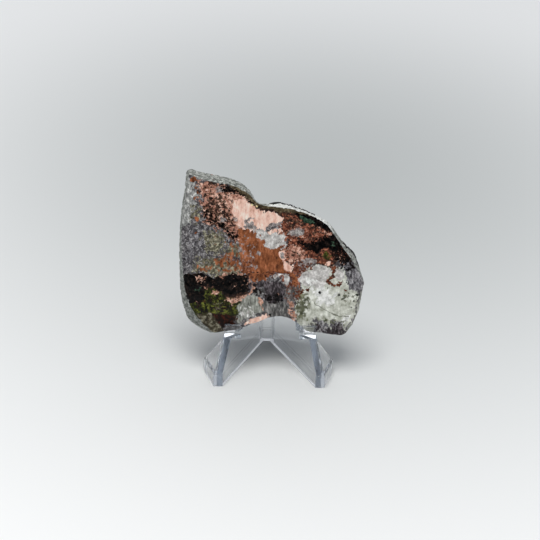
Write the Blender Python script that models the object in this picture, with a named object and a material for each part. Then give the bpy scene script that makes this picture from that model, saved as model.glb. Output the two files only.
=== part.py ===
# Native copper slice on a small clear easel
# Metres, +Z up, +X to the right and +Y away from the viewer, origin on the table below the middle.
import math

import bmesh
import bpy
from mathutils import Vector

MM = 0.001

# Slab: the polished face leans back, and its sides run outwards to the sawn back
SLAB_THICKNESS = 6.0 * MM
SLAB_LEAN = math.radians(14.0)
SLAB_FOOT_Y = 8.4 * MM
SLAB_FOOT_Z = 17.3 * MM
SLAB_TURN = math.radians(0.6)
SLAB_SHIFT = (-0.7 * MM, -0.4 * MM)
MIDDLE_RING_DEPTH = 0.45
MIDDLE_RING_SHARE = 0.65
OUTLINE_STEPS = 3

# Outline of the polished face, in mm along the face from the point between the hooks:
# right, up, and how far the back edge stands outside the front edge there
FACE_OUTLINE_MM = [
    (-26.7, 52.3, 0.9), (-24.0, 51.4, 1.2), (-19.6, 50.3, 1.4), (-15.4, 49.6, 1.3),
    (-12.4, 49.0, 1.1), (-9.8, 48.0, 0.9), (-7.6, 46.7, 0.6), (-5.9, 45.1, 0.3),
    (-4.7, 43.7, -0.3), (-3.0, 42.8, -0.7), (-0.8, 42.3, -0.3), (2.0, 42.1, 0.6),
    (4.8, 41.8, 0.6), (8.7, 41.1, 0.2), (12.8, 39.7, 0.0), (16.4, 37.9, 0.0),
    (19.0, 36.1, 0.3), (20.9, 33.6, 0.6), (23.1, 30.5, 0.6), (24.9, 27.8, 1.2),
    (27.2, 25.0, 1.6), (28.9, 22.3, 1.2), (30.6, 19.1, 0.5), (31.7, 16.4, 0.4),
    (31.1, 13.6, 0.7), (30.3, 7.6, 0.7), (29.2, 4.8, 1.0), (27.9, 2.0, 1.3),
    (26.6, 0.0, 1.1), (25.0, -1.5, 0.4), (21.7, -1.3, 0.1), (18.0, -0.7, 0.0),
    (15.2, -0.4, 0.0), (13.0, 0.0, 0.0), (11.2, 1.5, 0.0), (9.2, 2.9, 0.0),
    (6.8, 4.3, 0.0), (4.0, 4.9, 0.2), (1.4, 4.7, 0.3), (-1.2, 3.7, 0.2),
    (-5.8, 1.9, 0.0), (-9.4, 0.6, 0.0), (-14.7, -0.4, 0.0), (-17.2, -0.9, 0.7),
    (-19.0, -0.4, 2.0), (-21.0, 1.5, 3.1), (-23.4, 4.2, 3.8), (-25.4, 7.2, 3.2),
    (-27.0, 10.6, 2.3), (-27.9, 14.2, 1.8), (-28.5, 20.0, 1.3), (-29.1, 28.0, 0.8),
    (-28.9, 37.0, 0.6), (-28.2, 42.6, 0.6), (-27.2, 49.0, 0.7),
]

# Easel: two upright wings meet at a spine behind, each with a short brace outside its foot
TOE_X = 17.0 * MM
SPINE_X = 2.65 * MM
SPINE_Y = 30.6 * MM
WALL_WIDTH = 2.6 * MM
RAIL_WIDTH = 3.0 * MM
RAIL_HEIGHT = 4.5 * MM
WALL_INSET = 0.15 * MM
SPINE_DEPTH = 2.8 * MM
BACKREST_HEIGHT = 21.0 * MM
BACKREST_TOP_DEPTH = 5.0 * MM
BACKREST_BACK_DROP = 3.0 * MM
OVERLAP = 0.4 * MM

# Hooks: a ledge under the slab's edge and a low lip before its face
HOOK_WIDTH = 5.4 * MM
HOOK_X = 12.5 * MM
LIP_THICKNESS = 1.8 * MM
LIP_HEIGHT = 3.1 * MM
POST_DROP = 2.6 * MM
LEDGE_THICKNESS = 1.3 * MM
LEDGE_TAIL = 0.8 * MM
GAP = 0.3 * MM
SLAB_LOWEST = -1.1 * MM

# Braces: a rail back along the table and a thin leaning pane up to the front post
BRACE_WIDTH = 1.8 * MM
PANE_WIDTH = 1.2 * MM
BRACE_BEND = (3.0 * MM, 8.8 * MM)
BRACE_END = (3.6 * MM, 12.6 * MM)
BRACE_END_SLOPE = 0.35
BRACE_POST_HEIGHT = 15.0 * MM

MATERIALS = {
    "copper_stone": ((0.30, 0.19, 0.14), 0.30, 0.25, 0.0),
    "clear_acrylic": ((0.80, 0.85, 0.88), 0.05, 0.0, 0.9),
}


def clear_scene():
    for obj in list(bpy.data.objects):
        bpy.data.objects.remove(obj)


def make_material(name):
    colour, roughness, metallic, transmission = MATERIALS[name]
    material = bpy.data.materials.new(name)
    material.use_nodes = True
    shader = material.node_tree.nodes["Principled BSDF"]
    shader.inputs["Base Color"].default_value = (*colour, 1.0)
    shader.inputs["Roughness"].default_value = roughness
    shader.inputs["Metallic"].default_value = metallic
    shader.inputs["Transmission Weight"].default_value = transmission
    return material


def make_object(name, verts, faces, material=None):
    mesh = bpy.data.meshes.new(name)
    mesh.from_pydata([tuple(v) for v in verts], [], faces)
    work = bmesh.new()
    work.from_mesh(mesh)
    bmesh.ops.recalc_face_normals(work, faces=work.faces)
    work.to_mesh(mesh)
    work.free()
    obj = bpy.data.objects.new(name, mesh)
    bpy.context.scene.collection.objects.link(obj)
    if material:
        mesh.materials.append(material)
    return obj


# The smallest solid without hollows around some points
def hull(name, points):
    obj = make_object(name, points, [])
    work = bmesh.new()
    work.from_mesh(obj.data)
    bmesh.ops.convex_hull(work, input=work.verts)
    bmesh.ops.recalc_face_normals(work, faces=work.faces)
    work.to_mesh(obj.data)
    work.free()
    return obj


# A point of the leaning slab's own frame: along the face, up the face, into the thickness
def on_slab(right, up, deep):
    up_way = Vector((0, math.sin(SLAB_LEAN), math.cos(SLAB_LEAN)))
    deep_way = Vector((0, math.cos(SLAB_LEAN), -math.sin(SLAB_LEAN)))
    return Vector((right, SLAB_FOOT_Y, SLAB_FOOT_Z)) + up_way * up + deep_way * deep


# A smooth closed curve through the outline's points
def smooth_loop(points, steps):
    count = len(points)
    result = []
    for i in range(count):
        p0, p1, p2, p3 = (Vector(points[(i + k) % count]) for k in (-1, 0, 1, 2))
        for step in range(steps):
            t = step / steps
            result.append(0.5 * (2 * p1 + (p2 - p0) * t + (2 * p0 - 5 * p1 + 4 * p2 - p3) * t ** 2
                                 + (3 * p1 - p0 - 3 * p2 + p3) * t ** 3))
    return result


# A point of the outline's own frame, which sits a little turned in the hooks
def on_face(right, up, deep):
    cos, sin = math.cos(SLAB_TURN), math.sin(SLAB_TURN)
    return on_slab(right * cos - up * sin + SLAB_SHIFT[0], right * sin + up * cos + SLAB_SHIFT[1], deep)


# One ring of the slab's side, moved outwards from the face's outline
def ring(outline, deep, share):
    count = len(outline)
    verts = []
    for i, point in enumerate(outline):
        along = outline[(i + 1) % count] - outline[i - 1]
        outward = Vector((-along.y, along.x)).normalized()
        out = point.z * share
        verts.append(on_face(point.x + outward.x * out, point.y + outward.y * out, deep))
    return verts


def build_slab(material):
    outline = smooth_loop([Vector(p) * MM for p in FACE_OUTLINE_MM], OUTLINE_STEPS)
    middle = SLAB_THICKNESS * MIDDLE_RING_DEPTH
    verts = ring(outline, 0.0, 0.0)
    verts += ring(outline, middle, MIDDLE_RING_SHARE)
    verts += ring(outline, SLAB_THICKNESS, 1.0)
    count = len(outline)
    faces = [list(range(count)), list(range(2 * count, 3 * count))]
    for level in (0, count):
        for i in range(count):
            after = (i + 1) % count
            faces.append([level + i, level + after, level + count + after, level + count + i])
    return make_object("copper_slice", verts, faces, material)


# A solid between two like polygons
def prism(name, near, far):
    count = len(near)
    faces = [list(range(count)), list(range(count, 2 * count))]
    faces += [[i, (i + 1) % count, count + (i + 1) % count, count + i] for i in range(count)]
    return make_object(name, list(near) + list(far), faces)


# Middle of a wing at a distance behind the toes
def wing_x(side, y):
    return side * (TOE_X + (SPINE_X - TOE_X) * y / SPINE_Y)


def slab_yz(up, deep):
    point = on_slab(0.0, up, deep)
    return (point.y, point.z)


# Side profile of a wing's wall: distances behind the toe and heights
def wall_profile():
    ledge = SLAB_LOWEST - GAP
    back = SLAB_THICKNESS + GAP
    top = slab_yz(BACKREST_HEIGHT, back)
    return [
        (WALL_INSET, RAIL_HEIGHT / 2),
        (WALL_INSET, RAIL_HEIGHT + WALL_INSET),
        slab_yz(ledge + LIP_HEIGHT - POST_DROP, -GAP - LIP_THICKNESS + OVERLAP),
        slab_yz(ledge - OVERLAP, back),
        top,
        (top[0] + BACKREST_TOP_DEPTH, top[1]),
        (SPINE_Y + OVERLAP, top[1] - BACKREST_BACK_DROP),
        (SPINE_Y + OVERLAP, RAIL_HEIGHT / 2),
    ]


def build_wall(side, tag):
    base = [Vector((wing_x(side, y), y, z)) for y, z in wall_profile()]
    half = Vector((WALL_WIDTH / 2, 0, 0))
    return prism("wall_" + tag, [p - half for p in base], [p + half for p in base])


# The hook's outline from the side, widened across: ledge, then lip
def hook_part(name, side, corners):
    low = side * HOOK_X - HOOK_WIDTH / 2
    high = low + HOOK_WIDTH
    return prism(name, [on_slab(low, up, deep) for up, deep in corners],
                 [on_slab(high, up, deep) for up, deep in corners])


def build_hook(side, tag):
    top = SLAB_LOWEST - GAP
    bottom = top - LEDGE_THICKNESS
    front = -GAP - LIP_THICKNESS
    back = SLAB_THICKNESS + GAP + LEDGE_TAIL
    corners = [(bottom, front), (top + LIP_HEIGHT, front), (top + LIP_HEIGHT, -GAP), (top, -GAP),
               (top, back), (bottom, back)]
    return hook_part("hook_" + tag, side, corners)


# How far the post's front edge stands behind the toe at a height
def post_front(height):
    toe, hook = wall_profile()[1:3]
    return toe[0] + (hook[0] - toe[0]) * (height - toe[1]) / (hook[1] - toe[1])


# Plan of one brace's outer side: toe, bend and end, with the end cut shorter at the top
def brace_line(side, rise):
    toe = Vector((wing_x(side, 0) + side * RAIL_WIDTH / 2, 0, RAIL_HEIGHT * rise))
    bend, end = (toe + Vector((side * out, back, 0)) for out, back in (BRACE_BEND, BRACE_END))
    return toe, bend, end.lerp(bend, BRACE_END_SLOPE * rise)


# Plan of the rails on one side, from the front of the spine out to the foot and back to the spine
def rail_plan(side, rise):
    half = Vector((side * RAIL_WIDTH / 2, 0, 0))
    inward = Vector((-side * BRACE_WIDTH, 0, 0))
    toe, bend, end = brace_line(side, rise)
    spine = Vector((side * SPINE_X, SPINE_Y, toe.z))
    spread = BRACE_BEND[0] / BRACE_BEND[1] + (TOE_X - SPINE_X) / SPINE_Y
    crotch = (toe + inward).lerp(bend + inward, BRACE_WIDTH / spread / BRACE_BEND[1])
    behind = spine + half + Vector((0, SPINE_DEPTH, 0))
    return [spine - half, toe - 2 * half, toe, bend, end, end + inward, bend + inward, crotch,
            spine + half, behind]


def build_rails():
    low, high = ([*rail_plan(1, rise), *reversed(rail_plan(-1, rise))] for rise in (0, 1))
    return prism("rails", low, high)


# The thin pane that leans in from a brace to the post above its foot
def build_pane(side, tag):
    back = post_front(BRACE_POST_HEIGHT)
    post = Vector((wing_x(side, back) + side * WALL_WIDTH / 2, back + WALL_INSET, BRACE_POST_HEIGHT))
    toe, bend, end = brace_line(side, 1)
    sunk = Vector((-side * WALL_INSET, 0, -OVERLAP))
    along = Vector((0, WALL_INSET, 0))
    edge = [toe + sunk + along, bend + sunk, end + sunk - along, post]
    inner = [p - Vector((side * PANE_WIDTH, 0, 0)) for p in edge]
    return hull("pane_" + tag, edge + inner)


def build_spine():
    half = SPINE_X + WALL_WIDTH / 2
    front = SPINE_Y + WALL_INSET
    back = SPINE_Y + SPINE_DEPTH - WALL_INSET
    plan = [Vector((x, y, 0)) for x, y in ((-half, front), (half, front), (half, back), (-half, back))]
    low, high = (Vector((0, 0, z)) for z in (RAIL_HEIGHT / 2, wall_profile()[6][1] + OVERLAP))
    return prism("spine", [p + low for p in plan], [p + high for p in plan])


def easel_pieces():
    pieces = [build_rails(), build_spine()]
    for side, tag in ((-1, "left"), (1, "right")):
        pieces.append(build_wall(side, tag))
        pieces.append(build_hook(side, tag))
        pieces.append(build_pane(side, tag))
    return pieces


def join_easel(pieces, material):
    easel = pieces[0]
    easel.name = "easel"
    easel.data.materials.append(material)
    for piece in pieces[1:]:
        union = easel.modifiers.new(piece.name, "BOOLEAN")
        union.operation = "UNION"
        union.solver = "EXACT"
        union.object = piece
        piece.hide_render = True
        piece.display_type = "WIRE"


# Everything hangs on one empty, which moves the middle of the whole over the origin
def centre(pieces):
    corners = [piece.matrix_world @ Vector(corner) for piece in pieces for corner in piece.bound_box]
    middle = bpy.data.objects.new("middle", None)
    bpy.context.scene.collection.objects.link(middle)
    for piece in pieces:
        piece.parent = middle
    low, high = ([pick(c[axis] for c in corners) for axis in range(2)] for pick in (min, max))
    middle.location = (-(low[0] + high[0]) / 2, -(low[1] + high[1]) / 2, 0.0)


def main():
    clear_scene()
    slab = build_slab(make_material("copper_stone"))
    pieces = easel_pieces()
    join_easel(pieces, make_material("clear_acrylic"))
    centre([slab, *pieces])


main()
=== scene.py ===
"""Looks of a native copper slice on a small clear easel.

The stone is one closed mesh built on the CAD slab's own outline. Each mineral in it is a
layer: drawn outlines say where it grew, and its material breaks their edges up.
Lengths are in millimetres until a mesh is made, where MM turns them into metres.
"""

import math
from collections import namedtuple

import bmesh
import bpy
import numpy as np
from mathutils import Matrix, Vector, noise
from mathutils.geometry import delaunay_2d_cdt


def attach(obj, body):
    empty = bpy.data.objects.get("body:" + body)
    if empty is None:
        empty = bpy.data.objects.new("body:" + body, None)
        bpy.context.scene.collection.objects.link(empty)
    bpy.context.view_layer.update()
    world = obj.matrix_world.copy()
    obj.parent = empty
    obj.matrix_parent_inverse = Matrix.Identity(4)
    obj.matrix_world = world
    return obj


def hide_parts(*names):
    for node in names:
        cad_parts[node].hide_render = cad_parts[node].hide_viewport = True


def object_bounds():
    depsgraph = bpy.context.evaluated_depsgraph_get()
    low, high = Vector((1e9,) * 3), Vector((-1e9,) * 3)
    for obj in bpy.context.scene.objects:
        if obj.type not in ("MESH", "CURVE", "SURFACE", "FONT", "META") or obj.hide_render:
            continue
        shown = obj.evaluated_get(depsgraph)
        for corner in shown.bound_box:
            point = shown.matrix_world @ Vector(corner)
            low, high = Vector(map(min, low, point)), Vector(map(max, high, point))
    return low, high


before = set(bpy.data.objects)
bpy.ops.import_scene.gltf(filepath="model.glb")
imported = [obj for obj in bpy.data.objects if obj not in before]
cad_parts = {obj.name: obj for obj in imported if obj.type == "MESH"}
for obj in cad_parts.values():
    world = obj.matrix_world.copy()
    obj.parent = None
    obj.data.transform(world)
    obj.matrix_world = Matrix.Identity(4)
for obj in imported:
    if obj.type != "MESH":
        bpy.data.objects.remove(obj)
CAD_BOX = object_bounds()

MM = 0.001

# Slab: its lean, its turn in its own plane and the foot of its face, as in the CAD
SLAB_LEAN = math.radians(14.0)
SLAB_TURN = math.radians(0.6)
SLAB_FOOT = Vector((-0.175, -8.3, 17.3))
SLAB_SHIFT = (-0.7, -0.4)
SLAB_THICKNESS = 6.0
FLAT_TOLERANCE = 0.03

# Stone mesh: the steps between its points, and how its sides are broken
GRAIN_STEP = 0.32
GRAIN_SEED = 7
RIM_STEP = 0.3
RIM_ROWS = 18
MIDDLE_DEPTH = 0.45
MIDDLE_SHARE = 0.65
ARRIS = 0.1
EDGE_CHIP = 0.5
CHIP_SIZE = 1.3
RIM_DEPTH = 0.3
RIM_CALM = 0.3
LUMP_SIZE = 2.4
FACET_SIZE = 6.0
FACET_DEPTH = 0.35
FACE_RELIEF = 0.012
BACK_RELIEF = 0.05
RELIEF_SIZE = 1.6
SHARP_ANGLE = math.radians(35)
FACE, SIDE, BACK = 0, 1, 2

# How far a mineral's outline wanders, and how far it drifts through the stone
WANDER = ((2.6, 0.75), (0.9, 0.4))
WANDER_SEED = 4
DRIFT_SIZE = 9.0
DRIFT = 4.0
EDGE_SPREAD = 1.5
SPOT_EDGE = 0.14
CRACK_WIDTH = 0.08
CRACK_COLOUR = (104, 108, 92)
STONE_GLOSS = 0.2

# How much of the side and the back the grey rind covers, and how smooth the sawn back is
RIND_SIDE = 0.8
RIND_BACK = 0.16
BACK_POLISH = 0.5
RIM_DARK_FROM = 0.55
RIM_DARK_FADE = 0.3

# Easel
EASED_EDGE = 0.2
# The acrylic's tint and its depth are partly painted shade, darkening the cut edges as the dim room refracted in
# them does
ACRYLIC_SHADE_TINT = (192, 204, 217)
ACRYLIC_SHADE_DENSITY = 34.0

# Floor and light
FLOOR_RADIUS = 3000.0
FLOOR_GAP = 0.02
# Painted shade on the floor: its colour darkens towards an oval in the middle distance, where the lamps' light falls
# off
FLOOR_PAINTED_SHADE_AT = (28.0, 165.0, 0.0)
FLOOR_PAINTED_SHADE_REACH = 400.0
FLOOR_PAINTED_SHADE_NARROW = 1.25
FLOOR_PAINTED_SHADE_COLOUR = (184, 188, 188)
FLOOR_LIGHT = (248, 249, 249)
# The room is bright overhead and behind, and dim at eye level in front, where the face's gloss looks
ROOM_BRIGHT = (238, 242, 248)
ROOM_DIM = (74, 78, 86)
ROOM_AXIS = (0.0, 0.45, 0.9)
ROOM_FROM, ROOM_TO = 0.0, 0.75
ROOM_STRENGTH = 0.6
LAMPS = [
    ("key_light", (-110, -380, 1120), (0, 0, 20), 760, 620, 11.0, (255, 253, 250)),
    ("back_light", (0, 3000, 340), (0, 0, 30), 3000, 600, 10.0, (250, 252, 255)),
]

LIGHT_BOUNCES = 32

# Camera, from the photo's perspective
CAMERA_TARGET = Vector((-0.625, 0.3, 35.23))
CAMERA_DISTANCE = 430.0
CAMERA_RISE = math.radians(27.0)
CAMERA_SIDE = math.radians(-2.8)
CAMERA_ROLL = math.radians(2.4)
CAMERA_LENS = 86.0
CAMERA_SENSOR = 36.0


# Colours are written as the eye reads them, 0 to 255

def linear(colour):
    """A written colour as the linear RGBA that shaders take."""
    shares = [c / 255 for c in colour]
    return tuple(s / 12.92 if s <= 0.04045 else ((s + 0.055) / 1.055) ** 2.4 for s in shares) + (1.0,)


# Minerals, from the lowest layer to the top one
# dark, middle and light are its colours, grain is the size of its colour changes,
# fine is how much small detail they have, break_up is the size of the islands that its edge
# falls into, and stretch lengthens both upwards

Look = namedtuple("Look", "dark middle light grain fine break_up edge stretch metallic roughness")

MATRIX = Look((28, 26, 29), (78, 75, 78), (188, 185, 185), 1.1, 0.8, 1.0, 0.1, 1.2, 0.0, 0.34)
LAYERS = {
    "ash": Look((72, 73, 72), (148, 149, 147), (234, 234, 231), 1.0, 0.8, 1.1, 0.14, 1.6, 0.0, 0.36),
    "leaf": Look((36, 35, 26), (101, 97, 80), (198, 194, 168), 1.1, 0.8, 1.1, 0.12, 1.2, 0.0, 0.34),
    "net": Look((8, 5, 4), (38, 24, 20), (92, 66, 52), 1.0, 0.76, 1.0, 0.1, 1.0, 0.0, 0.3),
    "brick": Look((24, 10, 6), (108, 58, 42), (208, 134, 104), 1.0, 0.78, 0.9, 0.1, 1.0, 0.05, 0.36),
    "rust": Look((74, 38, 20), (135, 78, 46), (186, 116, 80), 1.4, 0.78, 1.1, 0.12, 2.2, 0.05, 0.4),
    "salmon": Look((84, 48, 38), (182, 128, 108), (255, 220, 200), 1.3, 0.78, 1.0, 0.08, 1.1, 0.15, 0.4),
    "web": Look((5, 3, 3), (46, 30, 24), (116, 88, 68), 1.0, 0.76, 0.95, 0.08, 1.0, 0.0, 0.32),
    "pink": Look((208, 156, 136), (246, 204, 186), (255, 240, 228), 1.3, 0.72, 1.0, 0.08, 2.6, 0.2, 0.42),
    "shade": Look((80, 74, 74), (140, 133, 131), (206, 198, 194), 1.0, 0.78, 0.7, 0.12, 1.4, 0.0, 0.32),
    "mist": Look((72, 73, 68), (136, 138, 130), (196, 198, 190), 1.1, 0.78, 1.2, 0.18, 3.0, 0.0, 0.3),
    "pale": Look((150, 153, 138), (198, 200, 189), (240, 242, 234), 1.9, 0.7, 1.3, 0.14, 1.4, 0.0, 0.26),
    "white": Look((140, 138, 134), (188, 185, 182), (240, 238, 236), 1.6, 0.7, 1.1, 0.14, 1.1, 0.0, 0.24),
    "bright": Look((176, 177, 173), (228, 229, 226), (255, 255, 254), 1.6, 0.7, 1.3, 0.16, 1.0, 0.0, 0.22),
    "sage": Look((62, 65, 48), (97, 100, 80), (144, 147, 120), 1.3, 0.76, 1.2, 0.18, 1.6, 0.0, 0.3),
    "streak": Look((34, 33, 33), (94, 93, 92), (168, 166, 162), 0.8, 0.78, 1.0, 0.14, 3.0, 0.0, 0.32),
    "violet": Look((36, 34, 37), (101, 99, 103), (200, 198, 200), 1.0, 0.8, 1.0, 0.12, 1.8, 0.0, 0.32),
    "slate": Look((12, 9, 11), (51, 45, 48), (124, 116, 120), 1.0, 0.78, 1.0, 0.12, 2.4, 0.0, 0.3),
    "olive": Look((3, 5, 0), (38, 42, 6), (124, 130, 54), 1.9, 0.8, 1.1, 0.14, 1.2, 0.0, 0.28),
    "black": Look((1, 1, 1), (2, 2, 2), (46, 35, 30), 1.2, 0.8, 0.9, 0.1, 1.0, 0.0, 0.14),
    "ember": Look((40, 18, 12), (96, 52, 38), (168, 104, 80), 0.9, 0.76, 0.7, 0.1, 1.0, 0.05, 0.36),
    # The band along the top edge: a dark mineral, its colours darker still as painted shade on the edge's bevel
    "shaded_band": Look((24, 20, 12), (80, 69, 51), (132, 120, 96), 1.1, 0.76, 0.8, 0.12, 1.0, 0.0, 0.28),
    "teal": Look((8, 20, 12), (48, 70, 54), (84, 116, 96), 1.1, 0.76, 0.9, 0.14, 1.0, 0.0, 0.26),
    "umber": Look((13, 10, 5), (69, 63, 48), (162, 158, 138), 1.2, 0.8, 1.1, 0.14, 1.0, 0.0, 0.3),
    "wine": Look((5, 2, 1), (22, 6, 2), (80, 34, 18), 1.1, 0.78, 1.1, 0.14, 1.0, 0.05, 0.3),
    "chain": Look((26, 10, 5), (84, 42, 26), (158, 96, 70), 0.9, 0.8, 0.7, 0.1, 1.0, 0.05, 0.34),
    "vein": Look((108, 66, 50), (196, 148, 126), (252, 220, 204), 0.9, 0.76, 0.7, 0.08, 1.1, 0.15, 0.38),
    "ink": Look((2, 2, 2), (6, 5, 5), (20, 18, 16), 0.6, 0.6, 0.5, 0.1, 1.0, 0.0, 0.3),
    "spark": Look((224, 190, 120), (250, 232, 180), (255, 252, 240), 0.4, 0.6, 0.4, 0.1, 1.0, 0.2, 0.3),
}
RIND = Look((62, 65, 61), (130, 133, 128), (212, 214, 208), 0.9, 0.8, 1.4, 0.16, 1.0, 0.0, 0.78)
# Colours of the painted highlight on the rim
RIM_PAINTED_HIGHLIGHT_LOOK = Look((150, 152, 148), (208, 210, 206), (246, 247, 244), 1.0, 0.7, 1.2, 0.16, 1.0, 0.0, 0.7)

# Where each mineral shows on the face: share covered, width of its edge, outline in mm right and up
Region = namedtuple("Region", "share edge outline")

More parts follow.
